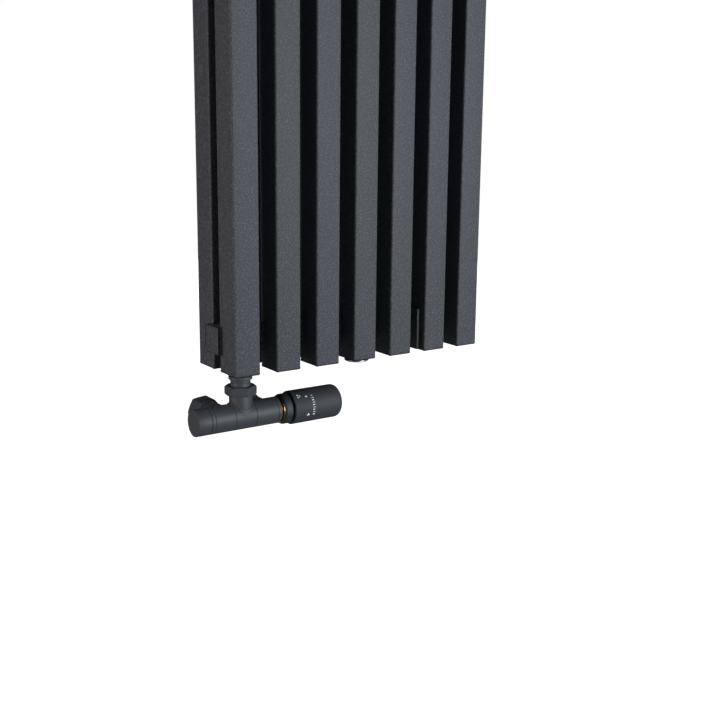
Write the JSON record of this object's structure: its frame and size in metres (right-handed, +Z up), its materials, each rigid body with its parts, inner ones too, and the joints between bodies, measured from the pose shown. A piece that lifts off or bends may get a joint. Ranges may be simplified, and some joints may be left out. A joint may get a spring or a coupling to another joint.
{
  "type": "radiator with valve",
  "caption": "Upright double-row tube radiator with a thermostatic connection valve under its first tube, hung on wall brackets.",
  "frame": {"origin": "on the wall plane, at the middle of the tubes' width, level with the tubes' lower ends", "axes": "+Z up, +Y into the wall, +X to the right for a person who faces the radiator"},
  "size_m": [0.3831, 0.1163, 0.6649],
  "materials": {
    "radiator_coat": "matt anthracite powder coat with a fine sandy texture",
    "valve_coat": "smooth satin anthracite lacquer",
    "head_coat": "soft matt anthracite plastic",
    "grey_metal": "dark satin nickel",
    "nickel": "satin nickel plate",
    "brass": "turned brass",
    "steel": "plain stainless steel",
    "rubber": "black rubber",
    "nylon": "black moulded plastic",
    "dial_print": "white printed marks"
  },
  "bodies": {
    "radiator": {"air_vent_body": "nickel", "blanking_gasket": "rubber", "blanking_plug": "nickel", "bracket_liner_bottom_left": "nylon", "bracket_liner_bottom_right": "nylon", "bracket_liner_top_left": "nylon", "bracket_liner_top_right": "nylon", "dip_tube": "nylon", "front_tube_1": "radiator_coat", "front_tube_2": "radiator_coat", "front_tube_3": "radiator_coat", "front_tube_4": "radiator_coat", "front_tube_5": "radiator_coat", "front_tube_6": "radiator_coat", "front_tube_7": "radiator_coat", "head_base": "head_coat", "header_bottom": "radiator_coat", "header_cap_bottom_left": "radiator_coat", "header_cap_bottom_right": "radiator_coat", "header_cap_top_left": "radiator_coat", "header_cap_top_right": "radiator_coat", "header_top": "radiator_coat", "port_gasket": "rubber", "rear_tube_1": "radiator_coat", "rear_tube_2": "radiator_coat", "rear_tube_3": "radiator_coat", "rear_tube_4": "radiator_coat", "rear_tube_5": "radiator_coat", "rear_tube_6": "radiator_coat", "rear_tube_7": "radiator_coat", "return_clamp_ring": "brass", "return_pipe_nut": "valve_coat", "return_spring": "steel", "ring_nut": "grey_metal", "shutoff_gland": "brass", "supply_clamp_ring": "brass", "supply_pipe_nut": "valve_coat", "tailpiece": "valve_coat", "thermostatic_insert": "brass", "union_nut": "valve_coat", "union_seal": "rubber", "valve_body": "valve_coat", "wall_bracket_bottom_left": "radiator_coat", "wall_bracket_bottom_right": "radiator_coat", "wall_bracket_top_left": "radiator_coat", "wall_bracket_top_right": "radiator_coat"},
    "knob": {"head_knob": "head_coat"},
    "pin": {"sensor_capsule": "steel", "push_pin": "steel", "valve_cone": "brass"},
    "cock": {"shutoff_cock": "brass", "shutoff_o_ring": "rubber"},
    "cap": {"cover_cap": "valve_coat"},
    "vent_screw": {"air_vent_screw": "brass"}
  },
  "joints": [
    {"name": "knob_turn", "type": "hinge", "parent": "radiator", "child": "knob", "pos_m": [-0.15, -0.0975, -0.0462], "axis": [1, 0, 0], "range_deg": [-150, 150]},
    {"name": "pin_slide", "type": "slide", "parent": "radiator", "child": "pin", "axis": [1, 0, 0], "range_m": [-0.00125, 0.00125], "deforming": ["return_spring"]},
    {"name": "cock_turn", "type": "hinge", "parent": "radiator", "child": "cock", "pos_m": [-0.15, -0.0975, -0.0462], "axis": [1, 0, 0], "range_deg": [0, 90]},
    {"name": "cap_slide", "type": "slide", "parent": "radiator", "child": "cap", "axis": [-1, 0, 0], "range_m": [0, 0.03]},
    {"name": "vent_turn", "type": "hinge", "parent": "radiator", "child": "vent_screw", "pos_m": [0.169, -0.0725, 0.565], "axis": [1, 0, 0], "range_deg": [0, 360]}
  ],
  "couplings": [
    {"joint": "knob_turn", "follows": "pin_slide", "rad_per_m": 2094.4}
  ]
}
